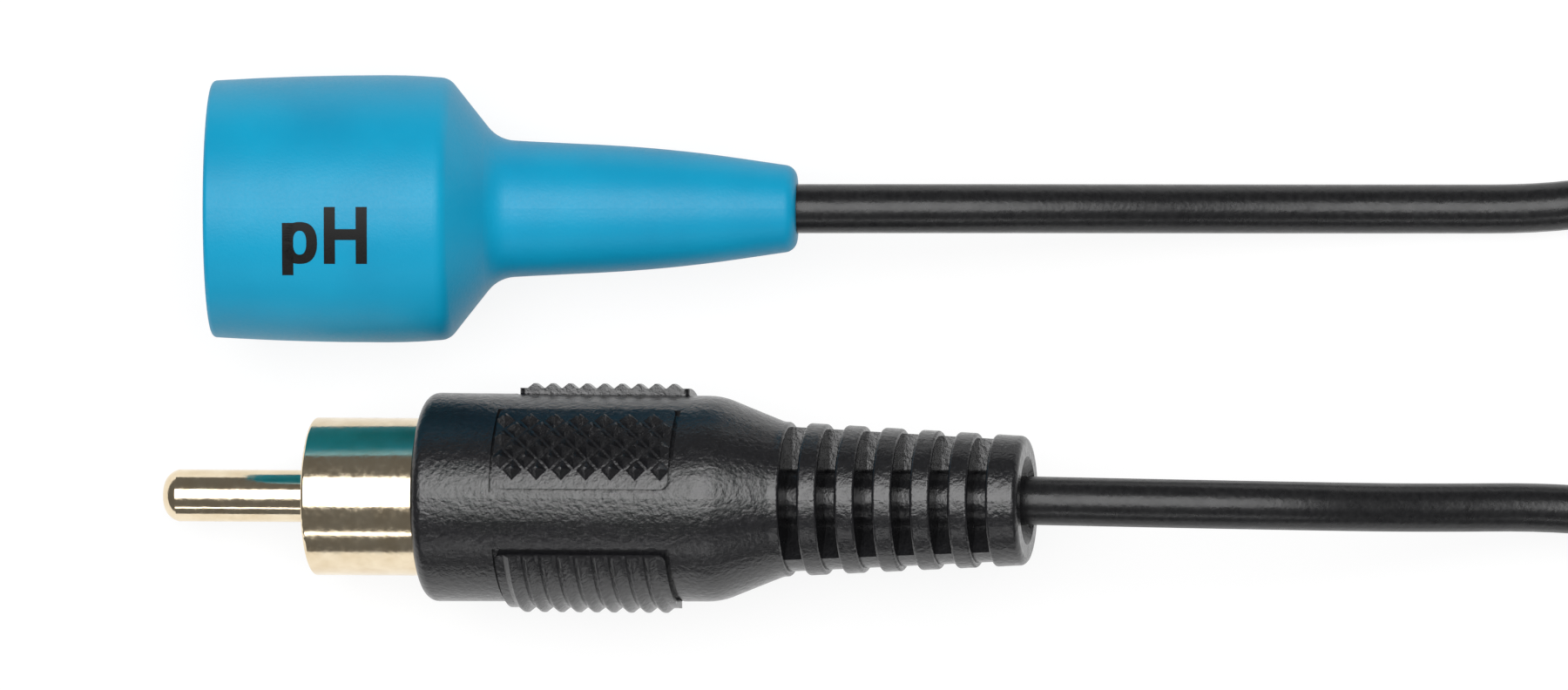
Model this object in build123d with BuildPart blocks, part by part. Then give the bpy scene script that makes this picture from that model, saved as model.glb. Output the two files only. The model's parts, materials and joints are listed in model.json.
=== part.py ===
from build123d import *
from math import atan2, cos, degrees, pi, radians, sin, sqrt, tan
import os

# Electrode lead: a blue hood that takes the electrode's head, 0.91 m of thin coaxial cable,
# and a moulded phono plug. Millimetres, +Z up. The origin is under the middle of the hood,
# on the surface that everything lies on. +X runs along the hood, towards its cable.

# Running gap between turned pieces that sit in each other
fit_gap = 0.03

# Coaxial cable, from the outside in
cable_radius = 1.5
jacket_bore = 1.08
braid_radius = 1.05
braid_bore = 0.78
dielectric_radius = 0.75
dielectric_bore = 0.27
conductor_radius = 0.25
solder_cup_gap = 0.05

# Hood: a soft moulded cover, measured from its mouth
hood_length = 35.8
mouth_radius = 7.84
barrel_radius = 8.17
barrel_crest = 10.7
shoulder_radius = 7.98
shoulder_at = 14.52
cone_angle = 51.5
neck_radius = 4.22
neck_slope = 2.8
neck_bend_share = 0.33
tail_bend_share = 0.18
tail_bend_radius = 3.05
lip_rounding = 0.3
shoulder_rounding = 1.1
neck_rounding = 2.2
tail_rounding = 0.8
mouth_bore = 6.2
mouth_depth = 10.0
mouth_bore_rounding = 0.4

# Socket inside the hood
socket_radius = 5.2
socket_length = 5.0
socket_rib_radius = 5.8
socket_rib_at = 2.0
socket_rib_width = 1.2
socket_cup_bore = 4.0
socket_cup_depth = 2.4
socket_neck_radius = 2.9
socket_neck_length = 2.5
socket_insulator_radius = 2.4
socket_insulator_lead = 1.6
contact_radius = 0.72
contact_lead = 0.6
contact_rear = 5.4
contact_socket_bore = 0.4
contact_socket_depth = 2.5
contact_cup_depth = 1.5

# Crimped joint between a metal tube and the cable's braid, the same at both ends
crimp_tube_bore = 0.85
crimp_tube_radius = 1.15
crimp_tube_length = 5.0
crimp_wall = 0.5
braid_wall = 0.22
ferrule_bore = 1.43
ferrule_radius = 1.8
ferrule_length = 4.4
ferrule_start = 0.6
braid_start = 0.4
braid_taper = 0.8
jacket_start = 1.0
dielectric_start = 0.4

# Plug grip: one soft moulding, measured from its front face
grip_front_radius = 6.38
grip_radius = 6.28
grip_edge = 0.75
grip_straight = 18.27
grip_shoulder_rounding = 4.0
grip_cone_end = 22.15
grip_cone_end_rounding = 1.1
relief_radius = 4.71
relief_end_radius = 3.94
relief_start = 22.7
plug_length = 37.25
relief_end_rounding = 0.45
relief_end_ring = 1.95
slot_count = 6
slot_first_at = 22.65
slot_share = 0.466
ring_rounding = 0.2
groove_depth = 0.3
slot_core_radius = 1.85
spine_turn = 106.5
spine_half_angle = 16.5
funnel_radius = 2.7
funnel_depth = 1.6

# Grip pads: two with pyramids and two with ridges, each with a narrow moat round it
pad_radius = 7.0
pad_sink = 0.4
moat_width = 0.22
moat_depth = 0.22
diamond_pad_turn = 30.8
diamond_pad_centre = 10.68
diamond_pad_length = 10.9
diamond_pad_half_angle = 25.7
diamond_pad_corner = 0.5
diamond_floor = 0.25
diamond_pitch = 1.53
diamond_row_angle = 6.2
diamond_rows = 6
diamond_columns = 7
diamond_gap = 0.05
diamond_flat = 0.16
diamond_sink = 0.1
ridge_pad_turn = -62.5
ridge_pad_centres = (10.56, 10.99)
ridge_pad_half_angle = 31.0
ridge_pad_corner = 0.4
ridge_pitch = 1.08
ridge_count = 9
ridge_depth = 0.29
ridge_flat = 0.12
ridge_valley = 0.22
ridge_land = 0.42

# Plug metalwork
collar_radius = 4.83
collar_wall = 0.55
collar_front = 7.05
collar_edge = 0.2
collar_floor_at = 2.4
collar_floor = 0.6
collar_flange_radius = 5.3
collar_flange_width = 0.8
collar_neck_radius = 2.7
collar_neck_bore = 2.2
collar_neck_length = 7.0
pin_radius = 1.6
pin_front = 16.5
pin_dome = 0.94
pin_dome_flat = 0.45
pin_dome_mid_along = 0.36
pin_dome_mid_out = 0.72
pin_shoulder_at = 0.6
pin_seat_radius = 1.2
pin_shank_radius = 1.0
pin_rear = 8.0
pin_cup_depth = 1.8
insulator_front = 0.4
insulator_rear = 9.0

# Inner moulding of the plug
core_radius = 4.6
core_tail = 1.8
core_edge = 0.6

# Where the plug lies: beside the hood, on its front rim, with its back held up by the cable
plug_x = -4.82
plug_y = -17.616
plug_turn = 0.29
plug_nose_down = 7.3

# Coil: the length that isn't laid out straight, wound in two flat layers and stored flat
coil_x = 97.0
coil_outer_turn = 22.0
coil_inner_turn = 10.5
coil_skin = 0.05
coil_rounding = 1.4
lead_angle = 30.0
lead_length = 12.2
lead_run = 5.6

# Routes of the two straight stretches: places that the cable passes on its way to the coil
hood_lead_out = 8.6
hood_route_places = [
    (35.5, 0, 6.3),
    (46.0, 0, 3.2),
    (55.5, 0, 1.6),
    (64.5, 0, 1.5),
]
plug_lead_out = 6.5
plug_route_places = [
    (48.0, -18.12, 10.8),
    (56.0, -18.27, 7.6),
    (64.4, -18.2, 5.2),
]

hood_plane = Plane(origin=(-hood_length / 2, 0, barrel_radius), x_dir=(1, 0, 0), z_dir=(0, -1, 0))
hood_axis = Axis(hood_plane.origin, hood_plane.x_dir)

plug_tilt = radians(plug_nose_down)
plug_side = radians(plug_turn)
rim_centre_drop = (grip_front_radius - grip_edge) * cos(plug_tilt) - grip_edge * sin(plug_tilt)
plug_z = rim_centre_drop + grip_edge
plug_plane = Plane(
    origin=(plug_x, plug_y, plug_z),
    x_dir=(cos(plug_side) * cos(plug_tilt), -sin(plug_side) * cos(plug_tilt), sin(plug_tilt)),
    z_dir=(-sin(plug_side), -cos(plug_side), 0),
)
plug_axis = Axis(plug_plane.origin, plug_plane.x_dir)


def band(start, end, inner, outer, mode=Mode.ADD):
    """A rectangle of a turned profile: start to end along the axis, inner to outer radius."""
    with Locations(((start + end) / 2, (inner + outer) / 2)):
        Rectangle(end - start, outer - inner, mode=mode)


def outward(angle):
    """Direction out of the plug's axis: 0 degrees is up, 90 degrees is +Y."""
    return plug_plane.y_dir * cos(radians(angle)) - plug_plane.z_dir * sin(radians(angle))


def profile_plane(angle):
    """Plane through the plug's axis: x along it, y out of it at this angle."""
    side = plug_plane.x_dir.cross(outward(angle))
    return Plane(origin=plug_plane.origin, x_dir=plug_plane.x_dir, z_dir=side)


def surface_plane(along, angle, radius):
    """Plane that faces out of the plug's axis at this place along it, angle and radius."""
    origin = plug_plane.origin + plug_plane.x_dir * along + outward(angle) * radius
    return Plane(origin=origin, x_dir=plug_plane.x_dir, z_dir=outward(angle))


# Hood: barrel with a full crest, cone, and a tail that tapers to the cable
socket_at = mouth_depth
socket_end = socket_at + socket_length
socket_neck_end = socket_end + socket_neck_length
hood_crimp_end = socket_neck_end + crimp_tube_length
hood_jacket_at = hood_crimp_end + jacket_start
cone_end = shoulder_at + (shoulder_radius - neck_radius) / tan(radians(cone_angle))
neck_bend_at = cone_end + neck_bend_share * (hood_length - cone_end)
tail_bend_at = hood_length - tail_bend_share * (hood_length - cone_end)
neck_bend_radius = neck_radius - (neck_bend_at - cone_end) * tan(radians(neck_slope))
tail_chord = atan2(neck_bend_radius - tail_bend_radius, tail_bend_at - neck_bend_at)
tail_slope = 2 * tail_chord - radians(neck_slope)
tail_end_radius = tail_bend_radius - (hood_length - tail_bend_at) * tan(tail_slope)

with BuildPart() as hood:
    with BuildSketch(hood_plane):
        with BuildLine():
            Line((0, 0), (0, mouth_radius))
            TangentArc(
                (barrel_crest, barrel_radius),
                (0, mouth_radius),
                tangent=(-1, 0),
            )
            TangentArc(
                (barrel_crest, barrel_radius),
                (shoulder_at, shoulder_radius),
                tangent=(1, 0),
            )
            Line((shoulder_at, shoulder_radius), (cone_end, neck_radius))
            Line((cone_end, neck_radius), (neck_bend_at, neck_bend_radius))
            TangentArc(
                (neck_bend_at, neck_bend_radius),
                (tail_bend_at, tail_bend_radius),
                tangent=(cos(radians(neck_slope)), -sin(radians(neck_slope))),
            )
            Line((tail_bend_at, tail_bend_radius), (hood_length, tail_end_radius))
            Line((hood_length, tail_end_radius), (hood_length, 0))
            Line((hood_length, 0), (0, 0))
        make_face()
        fillet(vertices().sort_by_distance((0, mouth_radius))[0], radius=lip_rounding)
        fillet(
            vertices().sort_by_distance((shoulder_at, shoulder_radius))[0],
            radius=shoulder_rounding,
        )
        fillet(vertices().sort_by_distance((cone_end, neck_radius))[0], radius=neck_rounding)
        fillet(
            vertices().sort_by_distance((hood_length, tail_end_radius))[0],
            radius=tail_rounding,
        )
    revolve(axis=hood_axis)
    with BuildSketch(hood_plane):
        band(0, socket_at, 0, mouth_bore)
        band(socket_at, socket_end, 0, socket_radius)
        band(
            socket_at + socket_rib_at,
            socket_at + socket_rib_at + socket_rib_width,
            0,
            socket_rib_radius,
        )
        band(socket_end, socket_neck_end + fit_gap, 0, socket_neck_radius + fit_gap)
        band(socket_neck_end, hood_jacket_at, 0, ferrule_radius + fit_gap)
        band(hood_jacket_at, hood_length, 0, cable_radius + fit_gap)
    revolve(axis=hood_axis, mode=Mode.SUBTRACT)
    mouth_edges = edges().filter_by(GeomType.CIRCLE).group_by(Axis.X)[0]
    fillet(mouth_edges.sort_by(SortBy.RADIUS)[0], radius=mouth_bore_rounding)

# Socket body: plated metal, a cup for the electrode's head, a rib that holds it in the hood,
# and a thin tube that the cable's braid is crimped on
with BuildPart() as socket_body:
    with BuildSketch(hood_plane):
        band(socket_at, socket_end, 0, socket_radius - fit_gap)
        band(
            socket_at + socket_rib_at + fit_gap,
            socket_at + socket_rib_at + socket_rib_width - fit_gap,
            0,
            socket_rib_radius - fit_gap,
        )
        band(socket_end, socket_neck_end, 0, socket_neck_radius)
        band(socket_neck_end, hood_crimp_end, 0, crimp_tube_radius)
        band(socket_at, socket_at + socket_cup_depth, 0, socket_cup_bore, Mode.SUBTRACT)
        band(
            socket_at + socket_cup_depth,
            socket_neck_end - crimp_wall,
            0,
            socket_insulator_radius,
            Mode.SUBTRACT,
        )
        band(socket_neck_end - crimp_wall, hood_crimp_end, 0, crimp_tube_bore, Mode.SUBTRACT)
    revolve(axis=hood_axis)

# White bush that centres the contact in the socket
contact_at = socket_at + contact_lead
contact_end = contact_at + contact_rear
with BuildPart() as socket_insulator:
    with BuildSketch(hood_plane):
        band(
            socket_at + socket_insulator_lead,
            socket_neck_end - crimp_wall,
            contact_radius + fit_gap,
            socket_insulator_radius - fit_gap,
        )
    revolve(axis=hood_axis)

# Centre contact: open at the front for the electrode's pin, a solder cup at the back
with BuildPart() as socket_contact:
    with BuildSketch(hood_plane):
        band(contact_at, contact_end, 0, contact_radius)
        band(
            contact_at,
            contact_at + contact_socket_depth,
            0,
            contact_socket_bore,
            Mode.SUBTRACT,
        )
        band(
            contact_end - contact_cup_depth,
            contact_end,
            0,
            conductor_radius + solder_cup_gap,
            Mode.SUBTRACT,
        )
    revolve(axis=hood_axis)

# Collar: a turned cup round the pin, a flange that locks it in the grip, and a crimp tube
collar_neck_end = collar_floor_at + collar_floor + collar_neck_length
plug_crimp_end = collar_neck_end + crimp_tube_length
plug_jacket_at = plug_crimp_end + jacket_start
collar_back = collar_floor_at + collar_floor
with BuildPart() as ground_collar:
    with BuildSketch(plug_plane):
        band(-collar_front, collar_back, 0, collar_radius)
        band(collar_back - collar_flange_width, collar_back, 0, collar_flange_radius)
        band(collar_back, collar_neck_end, 0, collar_neck_radius)
        band(collar_neck_end, plug_crimp_end, 0, crimp_tube_radius)
        band(-collar_front, collar_floor_at, 0, collar_radius - collar_wall, Mode.SUBTRACT)
        band(collar_floor_at, collar_neck_end - crimp_wall, 0, collar_neck_bore, Mode.SUBTRACT)
        band(collar_neck_end - crimp_wall, plug_crimp_end, 0, crimp_tube_bore, Mode.SUBTRACT)
        front_corners = vertices().group_by(Axis.X)[0]
        fillet(front_corners, radius=collar_edge)
    revolve(axis=plug_axis)

# Centre pin: a domed end with a crease where the dome starts, and a shank with a solder cup
with BuildPart() as centre_pin:
    with BuildSketch(plug_plane):
        with BuildLine():
            Line((-pin_front, 0), (-pin_front, pin_dome_flat))
            ThreePointArc(
                (-pin_front, pin_dome_flat),
                (
                    -pin_front + pin_dome * pin_dome_mid_along,
                    pin_dome_flat + (pin_radius - pin_dome_flat) * pin_dome_mid_out,
                ),
                (-pin_front + pin_dome, pin_radius),
            )
            Polyline(
                (-pin_front + pin_dome, pin_radius),
                (-insulator_front, pin_radius),
                (-insulator_front, pin_seat_radius),
                (pin_shoulder_at, pin_seat_radius),
                (pin_shoulder_at, pin_shank_radius),
                (pin_rear, pin_shank_radius),
                (pin_rear, 0),
                (-pin_front, 0),
            )
        make_face()
        band(
            pin_rear - pin_cup_depth,
            pin_rear,
            0,
            conductor_radius + solder_cup_gap,
            Mode.SUBTRACT,
        )
    revolve(axis=plug_axis)

# White bush between the pin and the collar, with a thin sleeve down the collar's neck
with BuildPart() as pin_insulator:
    with BuildSketch(plug_plane):
        band(
            -insulator_front,
            collar_floor_at,
            0,
            collar_radius - collar_wall - fit_gap,
        )
        band(collar_floor_at, insulator_rear, 0, collar_neck_bore - fit_gap)
        band(-insulator_front, pin_shoulder_at, 0, pin_seat_radius + fit_gap, Mode.SUBTRACT)
        band(pin_shoulder_at, insulator_rear, 0, pin_shank_radius + fit_gap, Mode.SUBTRACT)
    revolve(axis=plug_axis)

# Inner moulding that closes the collar's neck, the crimp and the end of the cable's jacket
core_end = plug_jacket_at + core_tail
with BuildPart() as plug_core:
    with BuildSketch(plug_plane):
        band(collar_back, core_end, 0, core_radius)
        fillet(vertices().group_by(Axis.X)[-1].sort_by(Axis.Y)[-1], radius=core_edge)
        band(collar_back, collar_neck_end + fit_gap, 0, collar_neck_radius + fit_gap, Mode.SUBTRACT)
        band(collar_neck_end, plug_jacket_at, 0, ferrule_radius + fit_gap, Mode.SUBTRACT)
        band(plug_jacket_at, core_end, 0, cable_radius + fit_gap, Mode.SUBTRACT)
    revolve(axis=plug_axis)


# A pyramid stands on the pad's floor, sunk a little, and ends in a small flat
diamond_height = pad_radius - grip_radius - diamond_floor + diamond_sink
diamond_side = diamond_pitch / sqrt(2) - diamond_gap
diamond_taper = degrees(atan2((diamond_side - diamond_flat) / 2, diamond_height))


def diamond_pad(angle):
    """Raised pad with rows of small pyramids, staggered so that they form a diamond field."""
    floor_radius = grip_radius + diamond_floor
    half_row = (diamond_rows - 1) / 2
    half_column = (diamond_columns - 1) / 2
    start = diamond_pad_centre - diamond_pad_length / 2
    peaks = []
    for row in range(diamond_rows):
        shift = diamond_pitch / 4 * (-1 if row % 2 else 1)
        for column in range(diamond_columns):
            along = diamond_pad_centre + (column - half_column) * diamond_pitch + shift
            turn = angle + (row - half_row) * diamond_row_angle
            peaks.append(surface_plane(along, turn, floor_radius - diamond_sink))
    side_plane = profile_plane(angle + diamond_pad_half_angle)
    with BuildPart() as pad:
        with BuildSketch(side_plane):
            band(start, start + diamond_pad_length, grip_radius - pad_sink, floor_radius)
        revolve(axis=plug_axis, revolution_arc=2 * diamond_pad_half_angle)
        fillet(across_edges(edges()), radius=diamond_pad_corner)
        with BuildSketch(*peaks):
            Rectangle(diamond_side, diamond_side, rotation=45)
        extrude(amount=diamond_height, taper=diamond_taper)
        with BuildSketch(side_plane):
            band(start, start + diamond_pad_length, 0, 2 * pad_radius)
        revolve(
            axis=plug_axis,
            revolution_arc=2 * diamond_pad_half_angle,
            mode=Mode.INTERSECT,
        )
    return pad.part


def ridge_pad(angle, centre):
    """Raised pad with ridges that run round the grip, and a plain land at each end."""
    start = centre - ridge_pad_length / 2
    end = centre + ridge_pad_length / 2
    floor_radius = pad_radius - ridge_depth
    outline = [(start, grip_radius - pad_sink), (start, floor_radius)]
    for ridge in range(ridge_count):
        crest = start + ridge_land + (ridge + 0.5) * ridge_pitch
        foot = (ridge_pitch - ridge_valley) / 2
        outline.append((crest - foot, floor_radius))
        outline.append((crest - ridge_flat / 2, pad_radius))
        outline.append((crest + ridge_flat / 2, pad_radius))
        outline.append((crest + foot, floor_radius))
    outline.append((end, floor_radius))
    outline.append((end, grip_radius - pad_sink))
    with BuildPart() as pad:
        with BuildSketch(profile_plane(angle + ridge_pad_half_angle)):
            with BuildLine():
                Polyline(*outline, close=True)
            make_face()
        revolve(axis=plug_axis, revolution_arc=2 * ridge_pad_half_angle)
        fillet(across_edges(edges()), radius=ridge_pad_corner)
    return pad.part


def across_edges(found):
    """The straight edges that stand across the plug's axis: a pad's four upright corners."""
    straight = found.filter_by(GeomType.LINE)
    return straight.filter_by(lambda edge: abs(edge.tangent_at(0).dot(plug_plane.x_dir)) < 0.5)


def moat(angle, half_angle, centre, length):
    """What is cut out of the grip round a pad: a little longer and wider than the pad."""
    half_turn = half_angle + degrees(moat_width / grip_radius)
    half_length = length / 2 + moat_width
    with BuildPart() as cut:
        with BuildSketch(profile_plane(angle + half_turn)):
            band(centre - half_length, centre + half_length, grip_radius - moat_depth, pad_radius)
        revolve(axis=plug_axis, revolution_arc=2 * half_turn)
    return cut.part


ridge_pad_length = ridge_count * ridge_pitch + 2 * ridge_land
pads = []
moats = []
for half_turn, ridge_pad_centre in zip((0, 180), ridge_pad_centres):
    diamond_turn = diamond_pad_turn + half_turn
    ridge_turn = ridge_pad_turn + half_turn
    pads.append(diamond_pad(diamond_turn))
    pads.append(ridge_pad(ridge_turn, ridge_pad_centre))
    moats.append(
        moat(diamond_turn, diamond_pad_half_angle, diamond_pad_centre, diamond_pad_length)
    )
    moats.append(moat(ridge_turn, ridge_pad_half_angle, ridge_pad_centre, ridge_pad_length))


def relief_radius_at(along):
    """Outer radius of the strain relief's rings at this place along the plug."""
    share = (along - relief_start) / (plug_length - relief_start)
    return relief_radius + (relief_end_radius - relief_radius) * share


# Grip: body, cone and strain relief in one moulding. Slots are cut from two sides down to
# the core round the cable, so that two spines stay between them.
slots_length = plug_length - relief_end_ring - slot_first_at
slot_pitch = slots_length / (slot_count - 1 + slot_share)
slot_width = slot_pitch * slot_share
slot_starts = [slot_first_at + slot * slot_pitch for slot in range(slot_count)]
with BuildPart() as plug_shell:
    with BuildSketch(plug_plane):
        with BuildLine():
            outline = [(0, 0), (0, grip_front_radius), (grip_straight, grip_radius)]
            outline.append((grip_cone_end, relief_radius_at(grip_cone_end)))
            for slot_at in slot_starts:
                slot_end = slot_at + slot_width
                outline.append((slot_at, relief_radius_at(slot_at)))
                outline.append((slot_at, relief_radius_at(slot_at) - groove_depth))
                outline.append((slot_end, relief_radius_at(slot_end) - groove_depth))
                outline.append((slot_end, relief_radius_at(slot_end)))
            outline.append((plug_length, relief_end_radius))
            outline.append((plug_length, 0))
            Polyline(*outline, close=True)
        make_face()
        fillet(vertices().sort_by_distance((0, grip_front_radius))[0], radius=grip_edge)
        fillet(
            vertices().sort_by_distance((grip_straight, grip_radius))[0],
            radius=grip_shoulder_rounding,
        )
        cone_end_corner = (grip_cone_end, relief_radius_at(grip_cone_end))
        fillet(
            vertices().sort_by_distance(cone_end_corner)[0],
            radius=grip_cone_end_rounding,
        )
        fillet(
            vertices().sort_by_distance((plug_length, relief_end_radius))[0],
            radius=relief_end_rounding,
        )
        for slot_at in slot_starts:
            for corner in (slot_at, slot_at + slot_width):
                fillet(
                    vertices().sort_by_distance((corner, relief_radius_at(corner)))[0],
                    radius=ring_rounding,
                )
    revolve(axis=plug_axis)
    for half_turn in (0, 180):
        with BuildSketch(profile_plane(spine_turn - spine_half_angle + half_turn)):
            for slot_at in slot_starts:
                band(slot_at, slot_at + slot_width, slot_core_radius, grip_radius)
        revolve(
            axis=plug_axis,
            revolution_arc=180 - 2 * spine_half_angle,
            mode=Mode.SUBTRACT,
        )
    add(moats, mode=Mode.SUBTRACT)
    add(pads)
    with BuildSketch(plug_plane):
        band(0, collar_back, 0, collar_radius + fit_gap)
        band(
            collar_back - collar_flange_width - fit_gap,
            collar_back,
            0,
            collar_flange_radius + fit_gap,
        )
        band(collar_back, core_end + fit_gap, 0, core_radius + fit_gap)
        band(core_end, plug_length, 0, cable_radius + fit_gap)
    revolve(axis=plug_axis, mode=Mode.SUBTRACT)
    with BuildSketch(plug_plane):
        with BuildLine():
            Polyline(
                (plug_length - funnel_depth, 0),
                (plug_length - funnel_depth, cable_radius + fit_gap),
                (plug_length, funnel_radius),
                (plug_length, 0),
                close=True,
            )
        make_face()
    revolve(axis=plug_axis, mode=Mode.SUBTRACT)


def cable_end(name, plane, axis, cup_at, insulator_end, crimp_start, crimp_end, jacket_at, end):
    """The stripped end of the cable in one of its fittings: four layers, one inside the other.

    The conductor reaches into the solder cup, the braid lies over the crimp tube under its
    ferrule, and the jacket starts behind them.
    """
    pieces = {}
    with BuildPart() as conductor:
        with BuildSketch(plane):
            band(cup_at, end, 0, conductor_radius)
        revolve(axis=axis)
    pieces[name + "_conductor"] = conductor.part
    with BuildPart() as dielectric:
        with BuildSketch(plane):
            band(insulator_end + dielectric_start, end, dielectric_bore, dielectric_radius)
        revolve(axis=axis)
    pieces[name + "_dielectric"] = dielectric.part
    over_tube = crimp_tube_radius + fit_gap
    with BuildPart() as braid:
        with BuildSketch(plane):
            with BuildLine():
                Polyline(
                    (crimp_start + braid_start, over_tube),
                    (crimp_start + braid_start, over_tube + braid_wall),
                    (crimp_end + fit_gap, over_tube + braid_wall),
                    (crimp_end + braid_taper, braid_radius),
                    (end, braid_radius),
                    (end, braid_bore),
                    (crimp_end + braid_taper, braid_bore),
                    (crimp_end + fit_gap, over_tube),
                    close=True,
                )
            make_face()
        revolve(axis=axis)
    pieces[name + "_braid"] = braid.part
    with BuildPart() as jacket:
        with BuildSketch(plane):
            band(jacket_at, end, jacket_bore, cable_radius)
        revolve(axis=axis)
    pieces[name + "_jacket"] = jacket.part
    with BuildPart() as ferrule:
        with BuildSketch(plane):
            ferrule_at = crimp_start + ferrule_start
            band(ferrule_at, ferrule_at + ferrule_length, ferrule_bore, ferrule_radius)
        revolve(axis=axis)
    pieces[name + "_ferrule"] = ferrule.part
    return pieces


cable_ends = cable_end(
    "hood",
    hood_plane,
    hood_axis,
    contact_end - contact_cup_depth + solder_cup_gap,
    socket_neck_end - crimp_wall,
    socket_neck_end,
    hood_crimp_end,
    hood_jacket_at,
    hood_length,
)
cable_ends.update(
    cable_end(
        "plug",
        plug_plane,
        plug_axis,
        pin_rear - pin_cup_depth + solder_cup_gap,
        collar_neck_end - crimp_wall,
        collar_neck_end,
        plug_crimp_end,
        plug_jacket_at,
        plug_length,
    )
)

# The coil lies half-way between hood and plug, and each lead leaves it on a tangent
coil_y = plug_y / 2
tangent_turn = 90 + lead_angle
hood_touch = Vector(
    coil_x + coil_outer_turn * cos(radians(tangent_turn)),
    coil_y + coil_outer_turn * sin(radians(tangent_turn)),
    cable_radius,
)
plug_touch = Vector(hood_touch.X, 2 * coil_y - hood_touch.Y, 3 * cable_radius)
hood_lead_way = Vector(cos(radians(lead_angle)), sin(radians(lead_angle)), 0)
plug_lead_way = Vector(cos(radians(lead_angle)), -sin(radians(lead_angle)), 0)
hood_lead_at = hood_touch - hood_lead_way * lead_length
plug_lead_at = plug_touch - plug_lead_way * lead_length

with BuildPart() as cable_coil:
    with BuildSketch(Plane(origin=(coil_x, coil_y, 0), x_dir=(1, 0, 0), z_dir=(0, -1, 0))):
        with Locations(((coil_outer_turn + coil_inner_turn) / 2, 2 * cable_radius)):
            RectangleRounded(
                coil_outer_turn - coil_inner_turn + 2 * cable_radius,
                4 * cable_radius - 2 * coil_skin,
                coil_rounding,
            )
    revolve(axis=Axis((coil_x, coil_y, 0), (0, 0, 1)))
    with BuildSketch(Plane(origin=hood_lead_at, z_dir=hood_lead_way)):
        Circle(cable_radius)
    extrude(amount=lead_length)
    with BuildSketch(Plane(origin=plug_lead_at, z_dir=plug_lead_way)):
        Circle(cable_radius)
    extrude(amount=lead_length)

# Routes of the two straight stretches: out of the fitting, down, and on to the coil's lead
hood_exit = hood_plane.origin + hood_plane.x_dir * hood_length
plug_exit = plug_plane.origin + plug_plane.x_dir * plug_length
hood_route = [hood_exit, hood_exit + hood_plane.x_dir * hood_lead_out]
hood_route += [Vector(*place) for place in hood_route_places]
hood_route += [hood_lead_at - hood_lead_way * lead_run, hood_lead_at]
plug_route = [plug_exit, plug_exit + plug_plane.x_dir * plug_lead_out]
plug_route += [Vector(*place) for place in plug_route_places]
plug_route += [plug_lead_at - plug_lead_way * lead_run, plug_lead_at]


def cable_run(name, route):
    """Plain round cable along straight runs joined by arcs as large as the runs allow."""
    radii = []
    for before, here, after in zip(route, route[1:], route[2:]):
        turn = radians((here - before).get_angle(after - here))
        run = min((here - before).length, (after - here).length)
        radii.append(0.45 * run / tan(turn / 2))
    with BuildPart() as cable:
        with BuildLine():
            path = FilletPolyline(*route, radius=radii)
        with BuildSketch(Plane(origin=path @ 0, z_dir=path % 0)):
            Circle(cable_radius)
        sweep(path=path)
    section = pi * cable_radius**2
    share = cable.part.volume / section / path.length
    print(name, "radii", [round(radius, 1) for radius in radii])
    print(name, "length", round(path.length, 2), "volume share", round(share, 4))
    return cable.part


cable_hood_side = cable_run("cable_hood_side", hood_route)
cable_plug_side = cable_run("cable_plug_side", plug_route)

parts = {
    "hood": hood.part,
    "socket_body": socket_body.part,
    "socket_insulator": socket_insulator.part,
    "socket_contact": socket_contact.part,
    "ground_collar": ground_collar.part,
    "centre_pin": centre_pin.part,
    "pin_insulator": pin_insulator.part,
    "plug_core": plug_core.part,
    "plug_shell": plug_shell.part,
    "cable_hood_side": cable_hood_side,
    "cable_coil": cable_coil.part,
    "cable_plug_side": cable_plug_side,
}
parts.update(cable_ends)

os.makedirs("parts", exist_ok=True)
for name, part in parts.items():
    part.label = name
    export_step(part, "parts/" + name + ".step")
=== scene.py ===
import json
from math import cos, pi, radians, sin, sqrt

import bmesh
import bpy
from mathutils import Matrix, Vector


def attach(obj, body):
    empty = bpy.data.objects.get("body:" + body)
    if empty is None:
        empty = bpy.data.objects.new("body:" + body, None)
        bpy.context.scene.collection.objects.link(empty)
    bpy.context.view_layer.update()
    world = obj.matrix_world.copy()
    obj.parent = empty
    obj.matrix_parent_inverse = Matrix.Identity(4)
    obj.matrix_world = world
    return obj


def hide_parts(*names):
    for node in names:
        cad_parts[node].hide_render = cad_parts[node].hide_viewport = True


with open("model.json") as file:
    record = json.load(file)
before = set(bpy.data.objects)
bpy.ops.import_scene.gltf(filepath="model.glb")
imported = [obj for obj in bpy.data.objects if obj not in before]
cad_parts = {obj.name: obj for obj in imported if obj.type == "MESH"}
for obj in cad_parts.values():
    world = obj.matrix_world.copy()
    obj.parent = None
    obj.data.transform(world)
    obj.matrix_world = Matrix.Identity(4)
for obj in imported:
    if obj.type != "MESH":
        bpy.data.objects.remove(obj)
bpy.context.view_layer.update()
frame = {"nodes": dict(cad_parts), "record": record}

nodes = frame["nodes"]
MM = 0.001

# The hood and the plug, in millimetres in the row frame
HOOD_LENGTH = 35.8
HOOD_AXIS_HEIGHT = 8.17
PLUG_X = -4.82
PLUG_Y = -17.616
PLUG_Z = 6.2391
PLUG_TURN = radians(0.29)
PLUG_NOSE_DOWN = radians(7.3)
PLUG_LENGTH = 37.25

# Photograph: its frame, its scale, and where the hood's mouth and axis lie in it
PHOTO_WIDTH = 1800
PHOTO_HEIGHT = 792
PIXELS_PER_MM = 18.8
MOUTH_PIXEL_X = 243.4
HOOD_AXIS_PIXEL_Y = 239.5
CAMERA_TILT = radians(3.5)
CAMERA_LENS = 600.0
SENSOR_WIDTH = 36.0
CLIP_START = 0.02
CLIP_END = 20


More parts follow.
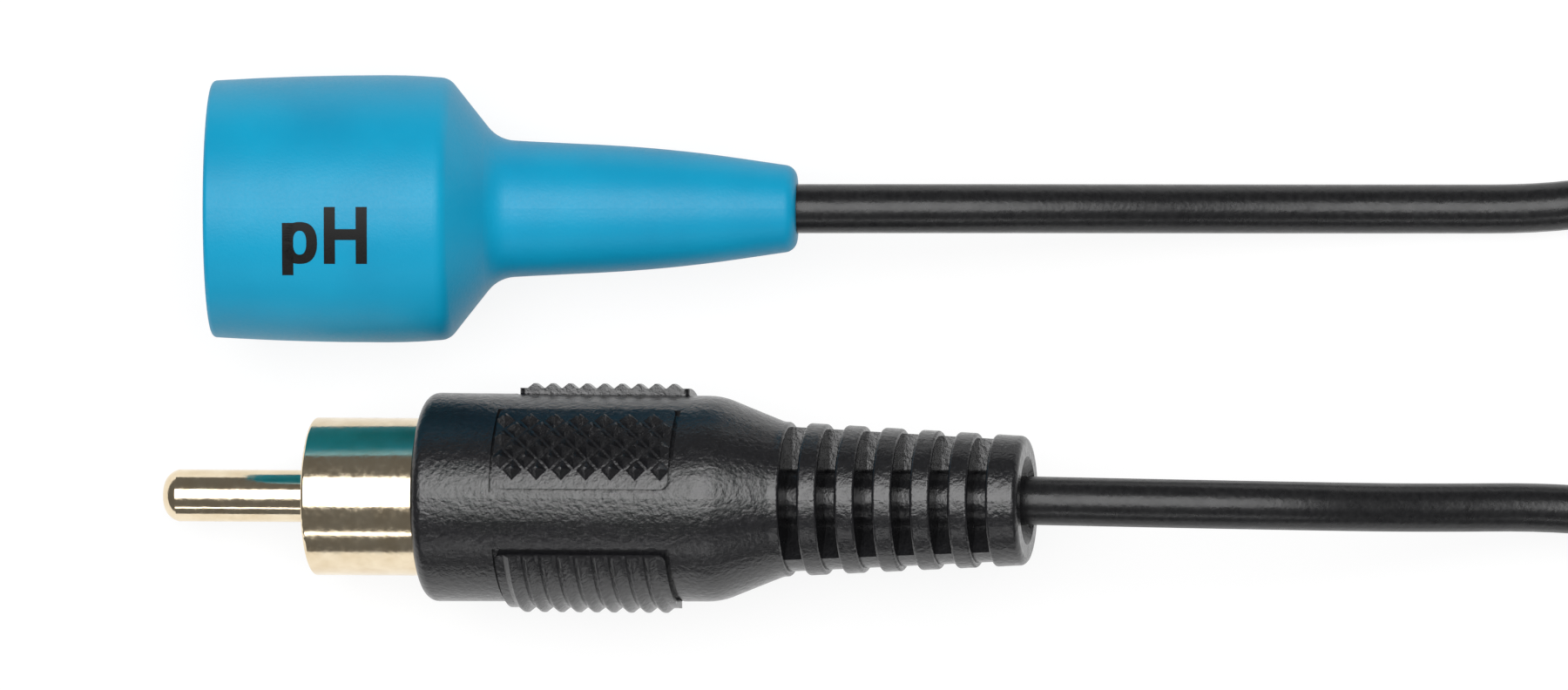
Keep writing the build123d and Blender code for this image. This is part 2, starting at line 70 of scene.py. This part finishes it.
def place_camera():
    """Long lens straight above, tilted a little towards the cables."""
    middle_x = (PHOTO_WIDTH / 2 - MOUTH_PIXEL_X) / PIXELS_PER_MM / cos(CAMERA_TILT)
    target = Vector(
        (
            middle_x - HOOD_LENGTH / 2,
            -(PHOTO_HEIGHT / 2 - HOOD_AXIS_PIXEL_Y) / PIXELS_PER_MM,
            HOOD_AXIS_HEIGHT,
        )
    )
    distance = CAMERA_LENS * (PHOTO_WIDTH / PIXELS_PER_MM) / SENSOR_WIDTH
    back = Vector((sin(CAMERA_TILT), 0, cos(CAMERA_TILT)))
    right = Vector((cos(CAMERA_TILT), 0, -sin(CAMERA_TILT)))
    up = back.cross(right)
    data = bpy.data.cameras.new("camera")
    data.lens = CAMERA_LENS
    data.sensor_fit = "HORIZONTAL"
    data.sensor_width = SENSOR_WIDTH
    data.clip_start = CLIP_START
    data.clip_end = CLIP_END
    camera = bpy.data.objects.new("camera", data)
    turn = Matrix((right, up, back)).transposed().to_4x4()
    camera.matrix_world = Matrix.Translation((target + back * distance) * MM) @ turn
    bpy.context.scene.collection.objects.link(camera)
    bpy.context.scene.camera = camera


place_camera()

# Cable: one smooth line from the hood, round the coil and back to the plug
CABLE_RADIUS = 1.5
CURVE_STEPS = 6
RING_STEPS = 6

# Its two free stretches: a straight start, then listed points
HOOD_LEAD_OUT = 8.6
HOOD_ROUTE = [(35.5, 0, 6.3), (46.0, 0, 3.2), (55.5, 0, 1.6), (64.5, 0, 1.5)]
PLUG_LEAD_OUT = 6.5
PLUG_LEAD_SHIFT = -0.1
PLUG_ROUTE = [(48.0, -18.12, 10.8), (56.0, -18.27, 7.6), (64.4, -18.2, 5.2)]

# Its coil, and the straight leads that meet the coil's outer turn
COIL_X = 97.0
COIL_Y = PLUG_Y / 2
COIL_OUTER_TURN = 22.0
COIL_INNER_TURN = 10.5
LEAD_ANGLE = radians(30)
LEAD_LENGTH = 12.2
LEAD_RUN = 5.6
POINTS_PER_TURN = 24
COIL_TURNS = 7 + 2 / 3


def coil_points():
    """Two flat layers: in along the bottom one, up at the middle, and out along the top one."""
    points = []
    count = round(COIL_TURNS * POINTS_PER_TURN)
    for step in range(count + 1):
        turns = step / POINTS_PER_TURN
        past_middle = turns - COIL_TURNS / 2
        slope = (COIL_OUTER_TURN - COIL_INNER_TURN) / (COIL_TURNS / 2)
        radius = COIL_INNER_TURN + slope * abs(past_middle)
        rise = min(max(past_middle + 0.5, 0), 1)
        height = CABLE_RADIUS + 2 * CABLE_RADIUS * rise * rise * (3 - 2 * rise)
        angle = pi / 2 + LEAD_ANGLE - 2 * pi * turns
        points.append((COIL_X + radius * cos(angle), COIL_Y + radius * sin(angle), height))
    return points


def cable_points():
    """Control points of the whole cable, in millimetres."""
    turn = pi / 2 + LEAD_ANGLE
    touch = Vector(
        (
            COIL_X + COIL_OUTER_TURN * cos(turn),
            COIL_Y + COIL_OUTER_TURN * sin(turn),
            CABLE_RADIUS,
        )
    )
    way = Vector((cos(LEAD_ANGLE), sin(LEAD_ANGLE), 0))
    hood_lead = touch - way * LEAD_LENGTH
    plug_touch = Vector((touch.x, 2 * COIL_Y - touch.y, 3 * CABLE_RADIUS))
    plug_way = Vector((way.x, -way.y, 0))
    plug_lead = plug_touch - plug_way * LEAD_LENGTH
    plug_axis = Vector(
        (
            cos(PLUG_TURN) * cos(PLUG_NOSE_DOWN),
            -sin(PLUG_TURN) * cos(PLUG_NOSE_DOWN),
            sin(PLUG_NOSE_DOWN),
        )
    )
    plug_exit = Vector((PLUG_X, PLUG_Y, PLUG_Z)) + plug_axis * PLUG_LENGTH
    hood_exit = Vector((HOOD_LENGTH / 2, 0, HOOD_AXIS_HEIGHT))
    hood_route = [
        hood_exit,
        hood_exit + Vector((HOOD_LEAD_OUT, 0, 0)),
        *HOOD_ROUTE,
        hood_lead - way * LEAD_RUN,
        hood_lead,
    ]
    plug_route = [
        plug_exit,
        plug_exit + plug_axis * PLUG_LEAD_OUT + Vector((0, PLUG_LEAD_SHIFT, 0)),
        *PLUG_ROUTE,
        plug_lead - plug_way * LEAD_RUN,
        plug_lead,
    ]
    return hood_route + coil_points() + plug_route[::-1]


def make_cable():
    curve = bpy.data.curves.new("cable", "CURVE")
    curve.dimensions = "3D"
    spline = curve.splines.new("NURBS")
    points = cable_points()
    spline.points.add(len(points) - 1)
    for point, place in zip(spline.points, points):
        point.co = (place[0] * MM, place[1] * MM, place[2] * MM, 1)
    spline.order_u = 3
    spline.use_endpoint_u = True
    spline.resolution_u = CURVE_STEPS
    curve.bevel_depth = CABLE_RADIUS * MM
    curve.bevel_resolution = RING_STEPS
    curve.use_fill_caps = True
    cable = bpy.data.objects.new("cable", curve)
    bpy.context.scene.collection.objects.link(cable)
    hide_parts("cable_hood_side", "cable_coil", "cable_plug_side")
    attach(cable, "root")
    return cable


cable = make_cable()


class Shading:
    """A material's node tree, with short calls for the nodes that it uses."""

    def __init__(self, name):
        self.material = bpy.data.materials.new(name)
        self.material.use_nodes = True
        self.tree = self.material.node_tree
        self.tree.nodes.clear()
        self.output = self.tree.nodes.new("ShaderNodeOutputMaterial")
        self.shader = self.tree.nodes.new("ShaderNodeBsdfPrincipled")
        self.link(self.shader.outputs[0], self.output.inputs["Surface"])
        self.place = self.tree.nodes.new("ShaderNodeTexCoord").outputs["Object"]

    def link(self, start, end):
        self.tree.links.new(start, end)

    def set(self, **values):
        """Constant values on the shader's own sockets: underscores stand for spaces."""
        for name, value in values.items():
            self.shader.inputs[name.replace("_", " ")].default_value = value

    def stretched(self, scale):
        """The object's own coordinates, stretched by a factor on each axis."""
        node = self.tree.nodes.new("ShaderNodeMapping")
        node.inputs["Scale"].default_value = scale
        self.link(self.place, node.inputs["Vector"])
        return node.outputs[0]

    def noise(self, grain_mm, detail=2.0, roughness=0.5, place=None):
        """Noise with grains of about this many millimetres."""
        node = self.tree.nodes.new("ShaderNodeTexNoise")
        node.inputs["Scale"].default_value = 1 / (grain_mm * MM)
        node.inputs["Detail"].default_value = detail
        node.inputs["Roughness"].default_value = roughness
        self.link(place or self.place, node.inputs["Vector"])
        return node.outputs["Fac"]

    def cells(self, grain_mm):
        """Smooth cell pattern with cells of about this many millimetres."""
        node = self.tree.nodes.new("ShaderNodeTexVoronoi")
        node.feature = "SMOOTH_F1"
        node.inputs["Scale"].default_value = 1 / (grain_mm * MM)
        self.link(self.place, node.inputs["Vector"])
        return node.outputs["Distance"]

    def ramp(self, value, low, high):
        """A colour or grey that runs from low to high; each is (position, colour)."""
        node = self.tree.nodes.new("ShaderNodeValToRGB")
        for element, (position, colour) in zip(node.color_ramp.elements, (low, high)):
            element.position = position
            element.color = (*colour, 1)
        self.link(value, node.inputs["Fac"])
        return node.outputs["Color"]

    def sum(self, first, second, share):
        """first plus second times share."""
        node = self.tree.nodes.new("ShaderNodeMath")
        node.operation = "MULTIPLY_ADD"
        self.link(second, node.inputs[0])
        node.inputs[1].default_value = share
        self.link(first, node.inputs[2])
        return node.outputs[0]

    def bump(self, height, depth_mm):
        """Relief of this depth, from a height of 0 to 1."""
        node = self.tree.nodes.new("ShaderNodeBump")
        node.inputs["Distance"].default_value = depth_mm * MM
        node.inputs["Strength"].default_value = 1.0
        self.link(height, node.inputs["Height"])
        self.link(node.outputs[0], self.shader.inputs["Normal"])

    def colour(self, value, low, high):
        """low and high are (position, colour)."""
        self.link(self.ramp(value, low, high), self.shader.inputs["Base Color"])

    def roughness(self, value, low, high):
        """low and high are (position, roughness)."""
        grey = [(at, (level, level, level)) for at, level in (low, high)]
        self.link(self.ramp(value, *grey), self.shader.inputs["Roughness"])


def hood_material():
    """Soft moulded blue: faint flow clouds, a fine satin skin."""
    m = Shading("hood_blue")
    clouds = m.noise(7, detail=3)
    skin = m.noise(0.18, detail=3)
    m.colour(clouds, (0.3, (0.0, 0.315, 0.545)), (0.75, (0.0, 0.375, 0.625)))
    m.roughness(skin, (0.3, 0.40), (0.8, 0.52))
    m.set(Specular_IOR_Level=0.36)
    m.bump(m.sum(skin, m.noise(1.6, detail=2), 1.5), 0.012)
    return m.material


def grip_material():
    """Black moulding with an eroded texture that glints."""
    m = Shading("grip_black")
    coarse = m.cells(0.34)
    fine = m.noise(0.16, detail=3, roughness=0.6)
    m.colour(fine, (0.3, (0.006, 0.006, 0.007)), (0.8, (0.016, 0.016, 0.018)))
    m.roughness(m.noise(0.5), (0.3, 0.16), (0.8, 0.30))
    m.set(Specular_IOR_Level=0.7)
    m.bump(m.sum(fine, coarse, 0.9), 0.028)
    return m.material


def cable_material():
    """Semi-gloss black jacket, a little uneven over the braid below it."""
    m = Shading("cable_black")
    fine = m.noise(0.3, detail=2)
    m.colour(fine, (0.3, (0.008, 0.008, 0.009)), (0.8, (0.018, 0.018, 0.019)))
    m.roughness(m.noise(0.9), (0.3, 0.25), (0.8, 0.36))
    m.set(Specular_IOR_Level=0.42)
    m.bump(m.sum(fine, m.noise(1.1), 1.2), 0.014)
    return m.material


def gold_material():
    """Thin pale gold over turned brass: faint turning lines, small pits."""
    m = Shading("gold")
    clouds = m.noise(1.2, detail=3)
    lines = m.noise(0.06, detail=2, place=m.stretched((1, 0.04, 0.04)))
    m.colour(clouds, (0.3, (0.78, 0.64, 0.44)), (0.8, (0.90, 0.78, 0.58)))
    m.roughness(m.noise(0.35, detail=3), (0.4, 0.10), (0.8, 0.22))
    m.set(Metallic=1.0)
    m.bump(m.sum(m.noise(0.3, detail=3), lines, 0.2), 0.004)
    return m.material


def plain_material(name, dark, light, rough, metallic=0.0, grain=0.4, depth=0.004):
    """A simple finish: slight change of colour and a fine grain."""
    m = Shading(name)
    grains = m.noise(grain, detail=3)
    m.colour(grains, (0.3, dark), (0.8, light))
    m.roughness(grains, (0.3, rough), (0.8, rough + 0.12))
    m.set(Metallic=metallic)
    m.bump(grains, depth)
    return m.material


materials = {
    "hood_blue": hood_material(),
    "grip_black": grip_material(),
    "cable_black": cable_material(),
    "gold": gold_material(),
    "nickel": plain_material("nickel", (0.60, 0.59, 0.57), (0.74, 0.73, 0.71), 0.18, 1.0),
    "insulator_white": plain_material(
        "insulator_white", (0.80, 0.79, 0.76), (0.87, 0.86, 0.84), 0.38
    ),
    "core_grey": plain_material("core_grey", (0.10, 0.10, 0.11), (0.14, 0.14, 0.15), 0.5),
    "dielectric_clear": plain_material(
        "dielectric_clear", (0.74, 0.74, 0.72), (0.84, 0.84, 0.82), 0.3
    ),
    "copper": plain_material("copper", (0.62, 0.28, 0.14), (0.74, 0.38, 0.22), 0.2, 1.0),
    "tinned_braid": plain_material(
        "tinned_braid", (0.42, 0.42, 0.42), (0.62, 0.62, 0.62), 0.3, 1.0, grain=0.12, depth=0.02
    ),
}

for row in frame["record"]["subparts"]:
    slots = nodes[row["node"]].data.materials
    slots.clear()
    slots.append(materials[row["material_slot"]])
cable.data.materials.append(materials["cable_black"])


def ink_material():
    """Dull black printing ink."""
    m = Shading("ink_black")
    grain = m.noise(0.1, detail=2)
    m.colour(grain, (0.3, (0.004, 0.004, 0.004)), (0.8, (0.012, 0.012, 0.012)))
    m.roughness(grain, (0.3, 0.5), (0.8, 0.65))
    m.set(Specular_IOR_Level=0.25)
    m.bump(grain, 0.003)
    return m.material


# The hood's barrel: two arcs that meet at its crest, in millimetres from the mouth
CREST_AT = 10.7
CREST_RADIUS = 8.17
MOUTH_RADIUS = 7.84
SHOULDER_AT = 14.52
SHOULDER_RADIUS = 7.98

# The quantity symbol pH, printed on the barrel: places in photo pixels
MARK_P_STEM_X = 325.8
MARK_P_STEM_TOP_Y = 256.4
MARK_P_END_X = 366.0
MARK_STEM_WIDTH = 12.8
MARK_X_HEIGHT_Y = 255.4
MARK_BASE_Y = 303.3
MARK_DESCENDER_Y = 316.2
MARK_COUNTER_LEFT_X = 338.4
MARK_COUNTER_RIGHT_X = 353.6
MARK_COUNTER_TOP_Y = 265.5
MARK_COUNTER_BASE_Y = 292.7
MARK_H_LEFT_X = 373.7
MARK_H_RIGHT_X = 423.0
MARK_CAP_Y = 238.2
MARK_BAR_TOP_Y = 263.5
MARK_BAR_BASE_Y = 276.0
BOWL_SHARE_OF_RING = 0.98
BOWL_POWER = 2.4

# The ink: how far it stands above the barrel, and how thick its slab is
INK_LIFT = 0.015
INK_DEPTH = 0.05


def on_barrel(pixel_x, pixel_y, radius):
    """The point of the hood's barrel, at this radius, that the photo shows at a pixel."""
    across = (HOOD_AXIS_PIXEL_Y - pixel_y) / PIXELS_PER_MM
    height = sqrt(radius * radius - across * across)
    shown = (pixel_x - MOUTH_PIXEL_X) / PIXELS_PER_MM
    along = (shown + height * sin(CAMERA_TILT)) / cos(CAMERA_TILT)
    return Vector((along - HOOD_LENGTH / 2, across, HOOD_AXIS_HEIGHT + height)) * MM


def barrel_radius(pixel_x):
    """Radius of the barrel's two arcs under this column of the photo."""
    along = (pixel_x - MOUTH_PIXEL_X) / PIXELS_PER_MM + CREST_RADIUS * sin(CAMERA_TILT)
    if along < CREST_AT:
        share = (CREST_AT - along) / CREST_AT
        return CREST_RADIUS - (CREST_RADIUS - MOUTH_RADIUS) * share**2
    share = (along - CREST_AT) / (SHOULDER_AT - CREST_AT)
    return CREST_RADIUS - (CREST_RADIUS - SHOULDER_RADIUS) * share**2


def add_patch(mesh, columns, rows, place):
    """A closed thin slab of ink: place(u, v) gives the pixel for u and v from 0 to 1."""
    layers = []
    for lift in (INK_LIFT, INK_LIFT - INK_DEPTH):
        grid = []
        for i in range(columns + 1):
            line = []
            for j in range(rows + 1):
                x, y = place(i / columns, j / rows)
                line.append(mesh.verts.new(on_barrel(x, y, barrel_radius(x) + lift)))
            grid.append(line)
        layers.append(grid)
    top, base = layers
    for i in range(columns):
        for j in range(rows):
            for grid in layers:
                mesh.faces.new((grid[i][j], grid[i + 1][j], grid[i + 1][j + 1], grid[i][j + 1]))
    rim = [(i, 0) for i in range(columns)] + [(columns, j) for j in range(rows)]
    rim += [(i, rows) for i in range(columns, 0, -1)] + [(0, j) for j in range(rows, 0, -1)]
    for (i, j), (k, l) in zip(rim, rim[1:] + rim[:1]):
        mesh.faces.new((top[i][j], top[k][l], base[k][l], base[i][j]))


def rectangle(left, right, top, base):
    """The place of u and v in an upright rectangle."""
    return lambda u, v: (left + (right - left) * u, top + (base - top) * v)


def superellipse(centre, half_width, half_height, angle):
    """The point at this angle of an ellipse that is a little squared."""
    c, s = cos(angle), sin(angle)
    x = abs(c) ** (2 / BOWL_POWER) * (1 if c >= 0 else -1)
    y = abs(s) ** (2 / BOWL_POWER) * (1 if s >= 0 else -1)
    return centre[0] + half_width * x, centre[1] + half_height * y


def bowl(u, v):
    """The p's bowl: a ring that closes under the stem, u round it and v across it."""
    angle = 2 * pi * (u - 0.5) * BOWL_SHARE_OF_RING
    middle = (MARK_X_HEIGHT_Y + MARK_BASE_Y) / 2
    centre_x = (MARK_COUNTER_LEFT_X + MARK_COUNTER_RIGHT_X) / 2
    outer = superellipse(
        (centre_x, middle),
        MARK_P_END_X - centre_x,
        (MARK_BASE_Y - MARK_X_HEIGHT_Y) / 2,
        angle,
    )
    inner = superellipse(
        (centre_x, (MARK_COUNTER_TOP_Y + MARK_COUNTER_BASE_Y) / 2),
        (MARK_COUNTER_RIGHT_X - MARK_COUNTER_LEFT_X) / 2,
        (MARK_COUNTER_BASE_Y - MARK_COUNTER_TOP_Y) / 2,
        angle,
    )
    return outer[0] + (inner[0] - outer[0]) * v, outer[1] + (inner[1] - outer[1]) * v


def make_mark():
    """The letters p and H as thin closed slabs, each with its columns and rows."""
    stem = MARK_STEM_WIDTH
    p_right = MARK_P_STEM_X + stem
    bar_left = MARK_H_LEFT_X + stem
    bar_right = MARK_H_RIGHT_X - stem
    patches = [
        (4, 20, rectangle(MARK_P_STEM_X, p_right, MARK_P_STEM_TOP_Y, MARK_DESCENDER_Y)),
        (48, 4, bowl),
        (4, 24, rectangle(MARK_H_LEFT_X, bar_left, MARK_CAP_Y, MARK_BASE_Y)),
        (4, 24, rectangle(bar_right, MARK_H_RIGHT_X, MARK_CAP_Y, MARK_BASE_Y)),
        (10, 5, rectangle(bar_left, bar_right, MARK_BAR_TOP_Y, MARK_BAR_BASE_Y)),
    ]
    mesh = bmesh.new()
    for columns, rows, place in patches:
        add_patch(mesh, columns, rows, place)
    bmesh.ops.recalc_face_normals(mesh, faces=mesh.faces)
    data = bpy.data.meshes.new("ph_mark")
    mesh.to_mesh(data)
    mesh.free()
    mark = bpy.data.objects.new("ph_mark", data)
    bpy.context.scene.collection.objects.link(mark)
    data.materials.append(ink_material())
    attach(mark, "root")


make_mark()


# Studio: what the lamps face, and the levels of the floor and the surroundings
LIGHT_AIM = (0.017, -0.008, 0.005)
FLOOR_REACH = 0.6
FLOOR_GREY = 0.86
FLOOR_WHITE = 1.08
FLOOR_WHITE_SHARE = 0.8
WORLD_LIGHT = 0.14
WORLD_WHITE = 1.0


def soft_light(name, centre, size, watts):
    """A rectangular soft box that faces the middle of the object."""
    data = bpy.data.lights.new(name, "AREA")
    data.shape = "RECTANGLE"
    data.size, data.size_y = size
    data.energy = watts
    light = bpy.data.objects.new(name, data)
    light.location = centre
    aim = Vector(LIGHT_AIM) - Vector(centre)
    light.rotation_euler = aim.to_track_quat("-Z", "Y").to_euler()
    bpy.context.scene.collection.objects.link(light)


soft_light("key", (0.0, 0.14, 1.0), (1.1, 0.78), 11.5)
soft_light("low_strip", (0.0, -0.85, 0.53), (0.9, 0.07), 0.9)


def camera_seen(tree):
    """1 for rays from the camera, a mirror or glass, and 0 for the light on the object."""
    path = tree.nodes.new("ShaderNodeLightPath")
    total = path.outputs["Is Camera Ray"]
    for name in ("Is Glossy Ray", "Is Transmission Ray"):
        node = tree.nodes.new("ShaderNodeMath")
        node.operation = "MAXIMUM"
        tree.links.new(total, node.inputs[0])
        tree.links.new(path.outputs[name], node.inputs[1])
        total = node.outputs[0]
    return total


def make_floor():
    """A pale floor that shows white, with the object's shadow still on it."""
    data = bpy.data.meshes.new("floor")
    corners = [
        (FLOOR_REACH * x, FLOOR_REACH * y, 0) for x, y in ((-1, -1), (1, -1), (1, 1), (-1, 1))
    ]
    data.from_pydata(corners, [], [(0, 1, 2, 3)])
    floor = bpy.data.objects.new("floor", data)
    bpy.context.scene.collection.objects.link(floor)
    material = bpy.data.materials.new("floor")
    material.use_nodes = True
    tree = material.node_tree
    tree.nodes.clear()
    output = tree.nodes.new("ShaderNodeOutputMaterial")
    mix = tree.nodes.new("ShaderNodeMixShader")
    lit = tree.nodes.new("ShaderNodeBsdfDiffuse")
    lit.inputs["Color"].default_value = (FLOOR_GREY, FLOOR_GREY, FLOOR_GREY, 1)
    shown = tree.nodes.new("ShaderNodeEmission")
    shown.inputs["Strength"].default_value = FLOOR_WHITE
    share = tree.nodes.new("ShaderNodeMath")
    share.operation = "MULTIPLY"
    share.inputs[1].default_value = FLOOR_WHITE_SHARE
    tree.links.new(camera_seen(tree), share.inputs[0])
    tree.links.new(share.outputs[0], mix.inputs[0])
    tree.links.new(lit.outputs[0], mix.inputs[1])
    tree.links.new(shown.outputs[0], mix.inputs[2])
    tree.links.new(mix.outputs[0], output.inputs["Surface"])
    data.materials.append(material)


make_floor()


def make_world():
    """Plain pale surroundings: white where they are seen, softer as light."""
    world = bpy.data.worlds.new("studio")
    world.use_nodes = True
    tree = world.node_tree
    background = tree.nodes["Background"]
    background.inputs["Color"].default_value = (1, 1, 1, 1)
    path = tree.nodes.new("ShaderNodeLightPath")
    level = tree.nodes.new("ShaderNodeMapRange")
    level.inputs["To Min"].default_value = WORLD_LIGHT
    level.inputs["To Max"].default_value = WORLD_WHITE
    tree.links.new(path.outputs["Is Camera Ray"], level.inputs["Value"])
    tree.links.new(level.outputs[0], background.inputs["Strength"])
    bpy.context.scene.world = world


make_world()
bpy.context.scene.view_settings.view_transform = "Standard"
